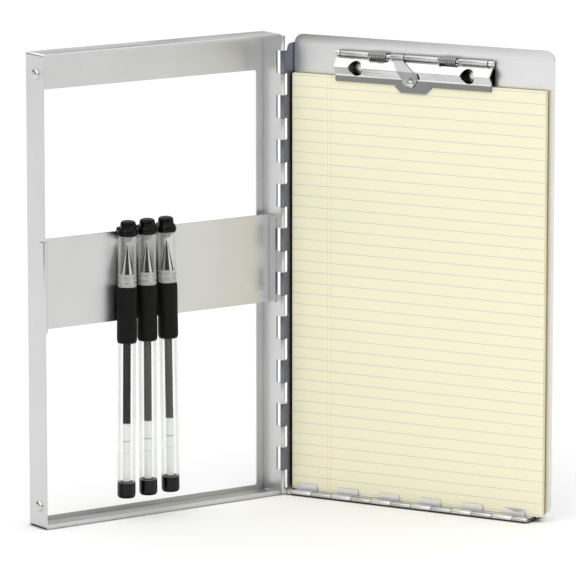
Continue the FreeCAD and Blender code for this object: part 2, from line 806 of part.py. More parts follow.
# Clip jaw, leaf frame: a roof of bent sheet with a lip on the pad
jaw_top_z = rod_z - s.jaw_top_drop
jaw_crease_z = rod_z - s.jaw_crease_drop
jaw_edge_z = rod_z - s.jaw_edge_drop
jaw_lip_z = rod_z - s.jaw_lip_drop
jaw_line = [
    (s.jaw_top_y, jaw_top_z), (s.jaw_crease_y, jaw_crease_z),
    (s.jaw_edge_y, jaw_edge_z), (s.jaw_edge_y, jaw_lip_z)]
jaw = bent("jaw_sheet", "x", jaw_line, s.wall, 1, s.clip_left, clip_right)
tongue_right = tongue_left + s.tongue_wide
tongue_low = rod_z - s.tongue_drop
tongue = prism("jaw_tongue", "y", [
    (tongue_left, jaw_edge_z - s.wall), (tongue_left, jaw_lip_z - s.wall),
    (tongue_left + s.tongue_taper, tongue_low), (tongue_right - s.tongue_taper, tongue_low),
    (tongue_right, jaw_lip_z - s.wall), (tongue_right, jaw_edge_z - s.wall)],
    s.jaw_edge_y, s.jaw_edge_y + s.wall)
top = V(0, s.jaw_top_y.number, jaw_top_z.number)
slope = (top - V(0, s.jaw_crease_y.number, jaw_crease_z.number)).normalize()
rise = s.jaw_web
web_line = [
    (s.jaw_top_y + rise * slope.y, jaw_top_z + rise * slope.z),
    (s.jaw_top_y - rise * slope.y, jaw_top_z - rise * slope.z)]
webs = []
curls = []
for number, (low, high) in enumerate((left_curl, right_curl)):
    webs.append(bent(f"jaw_web_{number}", "x", web_line, s.wall, 1, low, high))
    curls.append(bar("jaw_curl", "x", rod_axis, s.curl, low, high))
jaw = join("jaw_joined", jaw, tongue, *webs, *curls)
cuts = [bar("jaw_bore", "x", rod_axis, s.rod + s.rod_fit, s.clip_left, clip_right)]
for x in openings:
    cuts.append(bar("jaw_hole", "y", (x, opening_z), s.opening, zero, s.rod_y + s.rod))
for low, high in coil_spans:
    cuts.append(box("jaw_coil_room", (low - s.curl_gap, high + s.curl_gap), (zero, s.plate_front),
                    (jaw_top_z - s.jaw_coil_drop, jaw_top_z + s.wall)))
slit_left = tongue_left + s.slit_in
cuts.append(box("jaw_slit", (slit_left, slit_left + s.slit_wide), (zero, s.plate_front),
                (rod_z - s.slit_low_drop, rod_z - s.slit_high_drop)))
lever_rivet_x = tongue_left + s.lever_rivet_in
lever_rivet_z = rod_z - s.lever_rivet_drop
cuts.append(bar("jaw_rivet_bore", "y", (lever_rivet_x, lever_rivet_z), s.lever_rivet_shank,
                zero, s.plate_front))
keep_on_leaf("clip_jaw", cut("clip_jaw", jaw, *cuts))

# Lever strap over the jaw, with its curl on the rod
lever_top_z = rod_z + s.lever_top_rise
lever_mid_z = rod_z - s.lever_mid_drop
lever_low_z = rod_z - s.lever_low_drop
lever_mid_left = tongue_left + s.lever_mid_in
lever_low_left = tongue_left + s.lever_low_in
lever_low_right = lever_low_left + s.lever_low_wide
lever_line = [web_line[0]] + jaw_line[1:3] + [(s.jaw_edge_y, lever_low_z)]
lever = bent("lever_sheet", "x", lever_line, s.wall, -1, lever_top_left, lever_low_right + s.wall)
lever_face = prism("lever_face", "y", [
    (lever_top_left, lever_top_z), (lever_top_left, rod_z - s.lever_left_drop),
    (lever_mid_left, lever_mid_z), (lever_low_left, lever_low_z),
    (lever_low_right, lever_low_z), (lever_mid_left + s.lever_mid_wide, lever_mid_z),
    (lever_top_right, rod_z - s.lever_right_drop), (lever_top_right, lever_top_z)],
    zero, s.plate_front)
lever_face = rounded(
    "lever_face_round", lever_face,
    ("y", s.lever_corner, [{"x": lever_low_left, "z": lever_low_z},
                           {"x": lever_low_right, "z": lever_low_z}]))
lever = shared("lever_cut", lever, lever_face)
lever = join("lever_curled", lever, bar("lever_curl", "x", rod_axis, s.curl, *lever_span))
lever = cut("clip_lever", lever,
            bar("lever_bore", "x", rod_axis, s.rod + s.rod_fit, s.clip_left, clip_right),
            bar("lever_rivet_bore", "y", (lever_rivet_x, lever_rivet_z), s.lever_rivet_shank,
                zero, s.plate_front))
keep_on_leaf("clip_lever", lever)
lever_front = s.jaw_edge_y - s.wall
one = turned("lever_rivet", dome(s.lever_rivet_head, s.lever_rivet_rise) + [
    (s.lever_rivet_shank, zero), (s.lever_rivet_shank, two_walls), (zero, two_walls)])
one.Placement = FreeCAD.Placement(V(), TURNS["y"])
one = move(one, lever_rivet_x, lever_front, lever_rivet_z)
keep_on_leaf("clip_lever_rivet", join("clip_lever_rivet", one))


# Clip springs, leaf frame: one unbroken tube of arcs each
def biarc(start, start_way, stop, stop_way):
    span = stop - start
    both = start_way + stop_way
    across = span.dot(both)
    whole = span.dot(span)
    lead = 4 - both.dot(both)
    if lead < 1e-9:
        reach = whole / (2 * across)
    else:
        reach = (math.sqrt(across * across + lead * whole) - across) / lead
    before = start + start_way * reach
    after = stop - stop_way * reach
    middle = (before + after) * 0.5
    return [arc_from(start, start_way, middle), arc_from(middle, (after - before).normalize(), stop)]


# The arc that leaves start along way and ends at stop.
def arc_from(start, way, stop):
    chord = stop - start
    side = chord - way * chord.dot(way)
    if side.Length < 1e-7:
        return Part.LineSegment(start, stop)
    side.normalize()
    radius = chord.dot(chord) / (2 * chord.dot(side))
    centre = start + side * radius
    half = (start - centre) + (stop - centre)
    half.normalize()
    return Part.Arc(start, centre + half * radius, stop)


# A point on the coil: turn 0 is at its front, turning downwards, moving along the rod.
def coil_point(begin, turn):
    angle = turn * 2 * math.pi
    mean = s.spring_mean.number
    return V(begin + s.spring_pitch.number * turn,
             s.rod_y.number - mean * math.cos(angle),
             rod_z.number + mean * math.sin(angle))


def coil_way(turn):
    angle = turn * 2 * math.pi
    mean = s.spring_mean.number * 2 * math.pi
    return V(s.spring_pitch.number, mean * math.sin(angle), mean * math.cos(angle)).normalize()


# The next curl's points lie between these shares of a turn ahead.
next_curl_shares = (0.75, 1.25)


def spring(node, start):
    wire = s.spring_wire.number
    thick = wire + wire
    begin = start.number + wire
    quarters = int(s.spring_curls.number * 4) + 2
    jaw_way = V(0, s.jaw_crease_y.number - s.jaw_top_y.number, jaw_crease_z.number - jaw_top_z.number)
    jaw_way.normalize()
    square = V(0, -jaw_way.z, jaw_way.y)
    first = coil_point(begin, 0)
    down = V(0, 0, -1)
    hook = s.spring_hook.number
    bend = math.acos(down.dot(square))
    drop = hook * math.sin(bend)
    shift = hook * (1 - math.cos(bend))
    # The hook's end meets the jaw's upper face square, one wire diameter straight.
    reach = thick + s.spring_touch.number
    foot_y = first.y + shift
    foot = V(first.x, foot_y, 0) + square * reach
    share_down = (foot.y - s.jaw_top_y.number) / jaw_way.y
    face_z = jaw_top_z.number + jaw_way.z * share_down
    hook_stop = V(first.x, foot_y, face_z - square.z * reach)
    hook_start = V(first.x, first.y, hook_stop.z + drop)
    tip = hook_stop + square * thick
    path = [Part.LineSegment(tip, hook_stop)]
    path.append(arc_from(hook_start, down, hook_stop))
    path.append(Part.LineSegment(hook_start, first))
    turn = 0
    here = first
    way = V(0, 0, 1)
    for quarter in range(quarters):
        turn = (quarter + 1) / 4
        there = coil_point(begin, turn)
        along = coil_way(turn)
        if quarter == quarters - 1:
            along = V(0, 0, -1)
        path += biarc(here, way, there, along)
        here = there
        way = along
    path.append(Part.LineSegment(here, here + way * s.spring_leg.number))
    wire_path = Part.Wire(Part.__sortEdges__([piece.toShape() for piece in path]))
    ring = Part.Wire(Part.makeCircle(wire, tip, square))
    shell = Part.BRepOffsetAPI.MakePipeShell(wire_path)
    shell.add(ring)
    shell.build()
    shell.makeSolid()
    thing = doc.addObject("Part::Feature", node)
    thing.Shape = shell.shape()
    keep_on_leaf(node, thing)
    # The least gap between neighbouring curls, measured on points of the path.
    samples = 72
    points = [coil_point(begin, step / samples) for step in range(int(s.spring_curls.number * samples) + 1)]
    near, far = (int(samples * share) for share in next_curl_shares)
    least = min((points[i] - points[j]).Length for i in range(len(points))
                for j in range(i + near, min(i + far, len(points))))
    print(node, "least gap to itself", round(least - thick, 3), "solid volume",
          round(thing.Shape.Volume, 3), "valid", thing.Shape.isValid())


spring("clip_spring_left", coil_starts[0])
spring("clip_spring_right", coil_starts[1])

# Pens
PENS = {
    "left": (s.pen_left_foot, s.pen_left_top),
    "middle": (s.pen_middle_foot, s.pen_middle_top),
    "right": (s.pen_right_foot, s.pen_right_top),
}
cap_high = s.pen_long - s.cap_plug_tall
cap_low = cap_high - s.cap_long
cap_rim_high = cap_low + s.cap_rim_tall
ring_high = cap_high + s.cap_ring_tall
grip_high = cap_low - s.cap_gap
grip_low = grip_high - s.grip_long
neck_high = grip_high + s.neck_past_grip
refill_high = neck_high + s.refill_past_neck
tip_top = neck_high + s.tip_rise
for pen, (foot, head) in PENS.items():
    lean = math.degrees(math.asin((head.number - foot.number) / s.pen_long.number))
    stand = FreeCAD.Placement(V(), FreeCAD.Rotation(V(0, 1, 0), lean))

    def keep_pen(node, thing):
        thing.Placement = stand
        move(thing, row_x + foot, row_y + s.pen_y, s.pen_foot_z)
        keep(f"pen_{pen}_{node}", thing)

    keep_pen("barrel", turned(f"pen_{pen}_barrel", [
        (s.pen_bore, s.foot_rise), (s.pen_tube, s.foot_rise), (s.pen_tube, grip_low),
        (s.pen_neck, grip_low), (s.pen_neck, neck_high), (s.pen_neck_bore, neck_high),
        (s.pen_neck_bore, grip_low), (s.pen_bore, grip_low - s.pen_neck_step)]))
    keep_pen("end_plug", turned(f"pen_{pen}_end_plug", [
        (zero, zero), (s.foot_flange - s.foot_round, zero),
        (s.foot_flange - s.foot_round * corner_share, s.foot_round * corner_share),
        (s.foot_flange, s.foot_round), (s.foot_flange, s.foot_rise), (s.pen_bore, s.foot_rise),
        (s.pen_bore, s.foot_plug), (zero, s.foot_plug)]))
    keep_pen("refill", turned(f"pen_{pen}_refill", [
        (zero, s.foot_plug), (s.refill, s.foot_plug), (s.refill, refill_high), (zero, refill_high)]))
    round_in = s.grip - s.grip_round
    keep_pen("grip", turned(f"pen_{pen}_grip", [
        (s.pen_neck, grip_low), (round_in, grip_low), (s.grip, grip_low + s.grip_round),
        (s.grip, grip_high - s.grip_round), (round_in, grip_high), (s.pen_neck, grip_high)]))
    keep_pen("tip", turned(f"pen_{pen}_tip", [
        (s.refill, neck_high), (s.pen_neck, neck_high), (s.tip_shoulder, neck_high + s.tip_shoulder_rise),
        (s.tip_point, neck_high + s.tip_point_rise), (s.tip_nib, tip_top), (zero, tip_top),
        (zero, refill_high), (s.refill, refill_high)]))
    keep_pen("cap", turned(f"pen_{pen}_cap", [
        (s.cap_bore, cap_low), (s.cap_rim, cap_low), (s.cap_rim, cap_rim_high),
        (s.cap, cap_rim_high + s.cap_rim_slope), (s.cap, cap_high), (s.cap_bore, cap_high)]))
    plug = turned(f"pen_{pen}_cap_turned", [
        (zero, cap_high - s.cap_plug_deep), (s.cap_bore, cap_high - s.cap_plug_deep), (s.cap_bore, cap_high),
        (s.cap_ring, cap_high), (s.cap_ring, ring_high), (s.cap_dome, ring_high),
        (s.cap_dome, s.pen_long - s.cap_round),
        (s.cap_dome - s.cap_round * corner_share, s.pen_long - s.cap_round * corner_share),
        (s.cap_dome - s.cap_round, s.pen_long), (zero, s.pen_long)])
    half = s.clip_wide * half_share
    root_low = strap_high + s.strap_seat - s.pen_foot_z
    root_high = root_low + s.clip_root_rise
    leg_front = s.clip_leg_front - s.pen_y
    leg_back = leg_front + s.clip_leg_thick
    root = box(f"pen_{pen}_root", (-half, half), (zero, leg_back), (root_low, root_high))
    toe = root_high - s.clip_leg_long
    leg = box(f"pen_{pen}_leg", (-half, half), (leg_front, leg_back), (toe, root_high))
    arm = join(f"pen_{pen}_arm", root, leg)
    arm = rounded(
        f"pen_{pen}_arm_round", arm,
        ("x", s.clip_root_rise * half_share, [{"y": leg_back, "z": root_high}]),
        ("y", s.clip_toe_round, [{"x": x, "z": toe} for x in (-half, half)]))
    keep_pen("cap_plug", join(f"pen_{pen}_cap_plug", plug, arm))

doc.recompute()
for thing in doc.Objects:
    if "Invalid" in thing.State or "Error" in thing.State:
        raise ValueError(f"{thing.Name}: {thing.State}")
for node, thing in NODES.items():
    if thing.Shape.isNull() or not thing.Shape.isValid() or not thing.Shape.Solids:
        raise ValueError(f"{node} is not a valid solid")
    thing.Shape.exportStep(f"parts/{node}.step")
print(len(NODES), "nodes")
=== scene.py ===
import math
import random

import bmesh
import bpy
from mathutils import Matrix, Vector


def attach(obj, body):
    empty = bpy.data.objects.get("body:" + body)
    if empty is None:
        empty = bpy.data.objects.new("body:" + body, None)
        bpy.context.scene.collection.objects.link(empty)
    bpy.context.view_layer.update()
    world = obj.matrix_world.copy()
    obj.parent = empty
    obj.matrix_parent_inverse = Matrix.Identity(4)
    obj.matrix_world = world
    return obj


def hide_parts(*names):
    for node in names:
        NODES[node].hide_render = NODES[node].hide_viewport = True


bl_info = {
    "name": "Storage clipboard box looks",
    "version": (1, 0, 0),
    "blender": (4, 5, 0),
    "location": "View3D > Sidebar > Clipboard box",
    "description": "Materials, paper, pens and studio for the packed clipboard box",
    "category": "Object",
}

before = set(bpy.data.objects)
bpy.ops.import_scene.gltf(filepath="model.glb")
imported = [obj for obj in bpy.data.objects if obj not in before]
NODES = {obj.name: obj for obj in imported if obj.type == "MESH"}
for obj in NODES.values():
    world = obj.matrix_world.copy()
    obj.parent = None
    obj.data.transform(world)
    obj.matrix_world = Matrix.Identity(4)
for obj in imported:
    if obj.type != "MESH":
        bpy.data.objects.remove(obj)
MM = 0.001

# The leaf's own directions: x along the leaf, y backwards, z up, from the side hinge. Sizes are in mm.
HINGE_X, HINGE_Y = 76.5, -8.9
LEAF_TURN = math.radians(-64.54)
LEAF = Matrix.Translation((HINGE_X * MM, HINGE_Y * MM, 0)) @ Matrix.Rotation(LEAF_TURN, 4, "Z")


def box_of(node, place=Matrix()):
    """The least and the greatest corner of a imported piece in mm, in the directions of a place."""
    piece = NODES[node]
    view = place.inverted() @ piece.matrix_world
    points = [view @ vertex.co for vertex in piece.data.vertices]
    return [[round(pick(point[axis] for point in points) / MM, 2) for axis in range(3)]
            for pick in (min, max)]


(PAD_LEFT, PAD_FRONT, PAD_LOW), (PAD_RIGHT, PAD_BACK, PAD_HIGH) = box_of("pad_sheets", LEAF)
# Heights where painted light or shade starts on a finish, and the inside of the hinge wall along the leaf
# from the frame's origin, left of which the shell gets painted shade.
TRAY_TOP = box_of("tray_frame")[1][2]
PLATE_TOP = box_of("writing_plate")[1][2]
CLIP_TOP = box_of("clip_base")[1][2]
CLIP_KNUCKLE = 4.2
JAW_LIP = 232.0
HINGE_WALL = 43.4

# Pens in mm. Each stands a little aslant: x of its foot and of its top from the row, and its crown's shift.
PENS = {"left": (-98.8, -97.2, 0.5), "middle": (-84.7, -84.9, 0.3), "right": (-70.3, -72.4, -0.4)}
PEN_LONG = 150.0
PEN_ROW_X = 76.0
PEN_ROW_Y = -4.7
PEN_FOOT = 10.1
TUBE = 4.9
BORE = 4.1
NECK = 4.25
NECK_BORE = 3.4
NECK_FOOT = 84.1
NECK_TOP = 116.0
FOOT_PLUG = 8.8
REFILL = 2.1
INK_FOOT = 40.2
CAP_BORE = 4.35
CAP_FOOT = 114.45
CAP_TOP = 141.7
CAP_RIM = 5.1
COLLAR_TOP = 121.6
CONE = 4.2
CONE_FRONT = 235.2
ARM_OUT = 7.5
ARM_HIGH = 145.35
ARM_LOW = 111.2


# Settings
class BoxLooks(bpy.types.PropertyGroup):
    """Colours and sizes that a user may want to change."""

    metal: bpy.props.FloatVectorProperty(
        name="Sheet colour", description="Colour of the brushed sheet of the tray, the strap and the pan",
        subtype="COLOR", min=0.0, max=1.0, default=(0.66, 0.662, 0.66))
    paper: bpy.props.FloatVectorProperty(
        name="Paper colour", description="Colour of the pad's ruled sheets",
        subtype="COLOR", min=0.0, max=1.0, default=(1.0, 0.955, 0.70))
    plastic: bpy.props.FloatVectorProperty(
        name="Plug colour", description="Colour of the pens' end plugs, crowns and clips",
        subtype="COLOR", min=0.0, max=1.0, default=(0.004, 0.004, 0.004))
    rule_pitch: bpy.props.FloatProperty(
        name="Ruling pitch", description="Distance from one rule of the paper to the next",
        unit="LENGTH", precision=5, min=0.002, max=0.02, default=0.00596)
    rule_start: bpy.props.FloatProperty(
        name="Lowest rule", description="Height of the lowest rule above the foot of the sheet",
        unit="LENGTH", precision=5, min=0.0, max=0.02, default=0.00115)
    bevel: bpy.props.FloatProperty(
        name="Sheet edge", description="Width of the rounding along the edges of the sheet metal",
        unit="LENGTH", precision=5, min=0.00005, max=0.00035, default=0.00028)


class BoxStudio(bpy.types.PropertyGroup):
    """Light and floor."""

    horizon: bpy.props.FloatProperty(
        name="Tent at the horizon", description="Strength of the white tent at and below the horizon",
        subtype="FACTOR", min=0.0, max=1.0, default=0.31)
    tent: bpy.props.FloatProperty(
        name="Tent overhead", description="Strength of the white tent straight above",
        subtype="FACTOR", min=0.0, max=4.0, default=1.42)
    key: bpy.props.FloatProperty(
        name="Key light", description="Power of the soft lamp on the left; the fill light has a fifth of it",
        unit="POWER", min=0.0, max=100.0, default=6.0)
    floor: bpy.props.FloatVectorProperty(
        name="Floor colour", description="Colour of the floor, which also fills the background",
        subtype="COLOR", min=0.0, max=1.0, default=(0.93, 0.93, 0.93))


# Shader helpers
def add(tree, kind, inputs=None, out=0, **props):
    """One shader node and its output. An input is a value or another node's output."""
    made = tree.nodes.new("ShaderNode" + kind)
    for key, value in props.items():
        setattr(made, key, value)
    for key, value in (inputs or {}).items():
        if isinstance(value, bpy.types.NodeSocket):
            tree.links.new(value, made.inputs[key])
        else:
            made.inputs[key].default_value = value
    return made.outputs[out] if len(made.outputs) else made


def maths(tree, operation, *values):
    return add(tree, "Math", dict(enumerate(values)), operation=operation)


def split(tree, vector):
    """The three parts of a vector."""
    parts = tree.nodes.new("ShaderNodeSeparateXYZ")
    tree.links.new(vector, parts.inputs[0])
    return parts.outputs[0], parts.outputs[1], parts.outputs[2]


def place_on(tree):
    """The piece's own coordinates in metres."""
    return add(tree, "TexCoord", out=3)


def sheet_place(tree):
    """The UV map, in metres round or along the piece."""
    return add(tree, "TexCoord", out=2)


def mapped(tree, vector, scale=(1, 1, 1), turn=0.0, **props):
    """A vector stretched by a scale and turned about z."""
    return add(tree, "Mapping", {"Vector": vector, "Scale": scale, "Rotation": (0, 0, turn)}, **props)


def noise(tree, vector, scale=1.0, detail=3.0, rough=0.5):
    return add(tree, "TexNoise", {"Vector": vector, "Scale": scale, "Detail": detail, "Roughness": rough})


def span(tree, value, low, high, to_low, to_high):
    """A value carried from one range to another, and held at its ends."""
    return add(tree, "MapRange", {"Value": value, "From Min": low, "From Max": high,
                                  "To Min": to_low, "To Max": to_high})


def past(tree, value, edge, soft=0.3):
    """Nought before an edge and one past it, both in mm."""
    return span(tree, value, (edge - soft) * MM, (edge + soft) * MM, 0.0, 1.0)


def stripe(tree, value, middle, inner, outer, strength=1.0):
    """A line at middle: full inside the half width inner and gone outside outer, in mm."""
    gap = maths(tree, "ABSOLUTE", maths(tree, "SUBTRACT", value, middle * MM))
    return span(tree, gap, inner * MM, outer * MM, strength, 0.0)


def tint(tree, factor, first, second):
    """A colour between two others, each a colour or another node's output."""
    mixed = tree.nodes.new("ShaderNodeMix")
    mixed.data_type = "RGBA"
    tree.links.new(factor, mixed.inputs["Factor"])
    for key, value in (("A", first), ("B", second)):
        socket = [one for one in mixed.inputs if one.name == key and one.type == "RGBA"][0]
        if isinstance(value, bpy.types.NodeSocket):
            tree.links.new(value, socket)
        else:
            socket.default_value = (*value[:3], 1)
    return [one for one in mixed.outputs if one.type == "RGBA"][0]


def choose_vector(tree, factor, first, second):
    """One of two vectors, by a factor of nought or one."""
    mixed = tree.nodes.new("ShaderNodeMix")
    mixed.data_type = "VECTOR"
    tree.links.new(factor, mixed.inputs["Factor"])
    sockets = [one for one in mixed.inputs if one.type == "VECTOR" and one.name in "AB"]
    tree.links.new(first, sockets[0])
    tree.links.new(second, sockets[1])
    return [one for one in mixed.outputs if one.type == "VECTOR"][0]


def bump(tree, height, strength, distance):
    """Small relief; the distance is in mm."""
    return add(tree, "Bump", {"Height": height, "Strength": strength, "Distance": distance * MM})


def scaled(colour, share):
    return [min(1.0, one * share) for one in colour]


def painted_crevice_shade(tree, colour, reach=4.0, shut=0.12, clear=0.6):
    """A colour with painted shade: it turns dark grey where surfaces meet within a few mm."""
    closed = add(tree, "AmbientOcclusion", {"Distance": reach * MM}, out=1, samples=8)
    return tint(tree, span(tree, closed, shut, clear, 0.0, 1.0), (0.16, 0.16, 0.16), colour)


def new_material(name):
    material = bpy.data.materials.new(name)
    material.use_nodes = True
    tree = material.node_tree
    tree.nodes.clear()
    return material, tree


def finish_material(tree, **inputs):
    """The surface shader; a socket's name is written with underscores."""
    surface = tree.nodes.new("ShaderNodeBsdfPrincipled")
    for key, value in inputs.items():
        socket = surface.inputs[key.replace("_", " ")]
        if isinstance(value, bpy.types.NodeSocket):
            tree.links.new(value, socket)
        else:
            socket.default_value = value
    add(tree, "OutputMaterial", {"Surface": surface.outputs[0]})


# Metal
def brushed_sheet(name, colour, turn=0.0, painted_shade_left=None, painted_light_top=None, painted_shade_top=None):
    """Brushed sheet metal: fine grain along the sheet and faint handling marks.

    Its last three arguments, each in mm, paint light and shade: painted shade left of the first, a painted
    highlight on the top face at the second, and painted shade that darkens up to the third. Its creases get
    painted shade too."""
    material, tree = new_material(name)
    local = mapped(tree, place_on(tree), turn=-turn)
    normal = mapped(tree, add(tree, "NewGeometry", out=1), turn=-turn, vector_type="NORMAL")
    on_side = maths(tree, "GREATER_THAN", maths(tree, "ABSOLUTE", split(tree, normal)[0]), 0.6)
    along = mapped(tree, local, (40, 2600, 2600))
    upright = mapped(tree, local, (2600, 2600, 40))
    lay = choose_vector(tree, on_side, along, upright)
    grain = noise(tree, lay, 1.0, 4.0, 0.6)
    cloud = noise(tree, local, 28.0, 4.0, 0.6)
    marks = noise(tree, mapped(tree, local, (260, 260, 700)), 1.0, 2.0)
    scuffs = span(tree, marks, 0.62, 0.8, 0.0, 0.03)
    handled = maths(tree, "ADD", span(tree, cloud, 0.3, 0.7, -0.03, 0.04), scuffs)
    roughness = maths(tree, "ADD", span(tree, grain, 0.25, 0.75, 0.27, 0.35), handled)
    faced = tint(tree, span(tree, grain, 0.2, 0.8, 0.0, 1.0), scaled(colour, 0.97), scaled(colour, 1.015))
    across, _, up = split(tree, local)
    # Painted shade: a dark blue-grey left of the given x, inside the hinge wall.
    if painted_shade_left:
        painted_shade_colour = [one * share for one, share in zip(colour, (0.28, 0.29, 0.37))]
        faced = tint(tree, past(tree, across, painted_shade_left), painted_shade_colour, faced)
    # Painted highlight: a paler top face.
    if painted_light_top:
        faced = tint(tree, past(tree, up, painted_light_top - 0.35, 0.15), faced, scaled(colour, 1.42))
    # Painted shade: darker towards the top edge, more on the left.
    if painted_shade_top:
        painted_shade_depth = span(tree, up, (painted_shade_top - 5.0) * MM, (painted_shade_top - 0.4) * MM, 0.0, 0.62)
        fading = span(tree, across, 50 * MM, 200 * MM, 1.0, 0.25)
        faced = tint(tree, maths(tree, "MULTIPLY", painted_shade_depth, fading), faced, scaled(colour, 0.2))
    finish_material(tree, Base_Color=painted_crevice_shade(tree, faced), Metallic=1.0, Roughness=roughness,
                    Normal=bump(tree, grain, 0.025, 0.04), Anisotropic=0.3)
    return material


def plated(name, colour, rough, painted_shade_below=None):
    """Plated steel with faint ripple and hairline marks; painted shade darkens it below the height given last
    (mm) and in its creases.
    """
    material, tree = new_material(name)
    place = place_on(tree)
    ripple = noise(tree, place, 160.0, 2.0)
    hair = noise(tree, mapped(tree, place, (3000, 900, 200), 1.1))
    roughness = maths(tree, "ADD", span(tree, hair, 0.3, 0.75, rough * 0.8, rough * 1.35),
                      span(tree, ripple, 0.3, 0.7, -0.02, 0.02))
    faced = tint(tree, span(tree, hair, 0.3, 0.7, 0.0, 1.0), scaled(colour, 0.9), colour)
    # Painted shade below the given height.
    if painted_shade_below:
        faced = tint(tree, past(tree, split(tree, place)[2], painted_shade_below), scaled(colour, 0.27), faced)
    finish_material(tree, Base_Color=painted_crevice_shade(tree, faced, 2.0), Metallic=1.0, Roughness=roughness,
                    Normal=bump(tree, ripple, 0.06, 0.2))
    return material


def turned_chrome(name, radius, front, bands=5):
    """Bright-plated cone with painted reflection: light and dark bands are painted down it, standing for a
    bright room mirrored in chrome.

    UV x runs round the piece at this radius (mm); a dark band stands at the angle front (degrees)."""
    material, tree = new_material(name)
    round_way = split(tree, sheet_place(tree))[0]
    ripple = noise(tree, place_on(tree), 220.0, 2.0)
    angle = maths(tree, "SUBTRACT", maths(tree, "MULTIPLY", round_way, bands / (radius * MM)),
                  bands * math.radians(front))
    wave = maths(tree, "ADD", maths(tree, "COSINE", angle), maths(tree, "MULTIPLY", ripple, 0.2))
    # Painted reflection: light and dark bands round the cone.
    painted_reflection_bands = tint(tree, span(tree, wave, -0.55, 0.0, 0.0, 1.0), (1.0, 1.0, 1.0), (0.012, 0.012, 0.013))
    finish_material(tree, Base_Color=painted_reflection_bands, Metallic=0.85,
                    Roughness=span(tree, ripple, 0.3, 0.7, 0.22, 0.27))
    return material


# Plastic and rubber
def gloss_plastic(name, colour):
    material, tree = new_material(name)
    place = place_on(tree)
    fine = noise(tree, place, 900.0)
    broad = noise(tree, place, 120.0, 2.0)
    finish_material(tree, Base_Color=tint(tree, broad, scaled(colour, 0.8), colour),
                    Roughness=span(tree, fine, 0.3, 0.7, 0.112, 0.21),
                    Normal=bump(tree, broad, 0.08, 0.2), Specular_IOR_Level=0.16)
    return material


def frosted_plastic(name, colour):
    material, tree = new_material(name)
    cloud = noise(tree, place_on(tree), 500.0)
    finish_material(tree, Base_Color=tint(tree, cloud, scaled(colour, 0.8), colour),
                    Transmission_Weight=0.35, Roughness=span(tree, cloud, 0.3, 0.7, 0.35, 0.5))
    return material


def clear_plastic(name, collar_top=None, plug_top=None, plug=(0.004, 0.004, 0.004)):
    """Thin clear tube: see-through face on, pale and glossy towards its sides (UV y is the height).

    Below collar_top (mm) it is a thick ribbed collar; below plug_top (mm) the tube is painted in the dark
    plug's colour across its width, a painted refraction of the plug inside."""
    material, tree = new_material(name)
    broad = noise(tree, place_on(tree), 140.0, 2.0)
    up = split(tree, sheet_place(tree))[1]
    seen = span(tree, add(tree, "LayerWeight", {"Blend": 0.35}, out=1), 0.12, 0.8, 0.02, 0.55)
    colour = tint(tree, broad, (0.80, 0.81, 0.80), (0.92, 0.93, 0.92))
    # Painted refraction: the dark plug inside, seen magnified through the wall, painted over the tube.
    if plug_top:
        filled = span(tree, up, (plug_top - 0.3) * MM, (plug_top + 0.1) * MM, 1.0, 0.0)
        colour = tint(tree, filled, colour, plug)
        seen = maths(tree, "MAXIMUM", seen, maths(tree, "MULTIPLY", filled, 0.96))
    if collar_top:
        rib_pitch = 2.992
        turn = maths(tree, "MULTIPLY", up, math.pi / (rib_pitch * MM))
        ribs = maths(tree, "ABSOLUTE", maths(tree, "SINE", turn))
        thick = maths(tree, "MULTIPLY", span(tree, up, (collar_top - 0.4) * MM, collar_top * MM, 1.0, 0.0),
                      span(tree, ribs, 0.0, 1.0, 0.3, 0.5))
        seen = maths(tree, "MAXIMUM", seen, thick)
        colour = tint(tree, thick, colour, (0.42, 0.43, 0.42))
    finish_material(tree, Base_Color=colour, Alpha=seen, IOR=1.45, Specular_IOR_Level=0.35,
                    Roughness=span(tree, broad, 0.3, 0.7, 0.03, 0.08))
    return material


def rubber_grip(name):
    """Matt black rubber with a staggered field of fine dots."""
    material, tree = new_material(name)
    uv = sheet_place(tree)
    cell = add(tree, "TexVoronoi", {"Vector": mapped(tree, uv, turn=math.radians(45)), "Scale": 1150.0,
                                    "Randomness": 0.0})
    dots = span(tree, cell, 0.18, 0.36, 1.0, 0.0)
    height = maths(tree, "ADD", dots, maths(tree, "MULTIPLY", noise(tree, uv, 2500.0), 0.15))
    finish_material(tree, Base_Color=tint(tree, dots, (0.002, 0.002, 0.002), (0.011, 0.011, 0.010)),
                    Roughness=span(tree, dots, 0.0, 1.0, 0.65, 0.48), Specular_IOR_Level=0.18,
                    Normal=bump(tree, height, 0.5, 0.12))
    return material


def refill_tube(name, ink):
    """Milky tube, dark down to where the ink ends, with two fine rings below (UV y is the height)."""
    material, tree = new_material(name)
    uv = sheet_place(tree)
    ripple = noise(tree, mapped(tree, uv, (300, 60, 1)), 1.0, 2.0)
    edge = maths(tree, "ADD", split(tree, uv)[1], maths(tree, "MULTIPLY", ripple, 0.6 * MM))
    dark = span(tree, edge, INK_FOOT * MM, (INK_FOOT + 0.7) * MM, 0.0, 1.0)
    follower = stripe(tree, edge, 31.0, 0.1, 0.55, 0.55)
    rings = maths(tree, "MAXIMUM", follower, stripe(tree, edge, 24.6, 0.1, 0.4, 0.2))
    milky = tint(tree, rings, (0.93, 0.96, 0.92), (0.14, 0.14, 0.14))
    filled = tint(tree, ripple, ink, scaled(ink, 1.6))
    finish_material(tree, Base_Color=tint(tree, dark, milky, filled), Roughness=0.25, Specular_IOR_Level=0.12,
                    Normal=bump(tree, ripple, 0.05, 0.2))
    return material


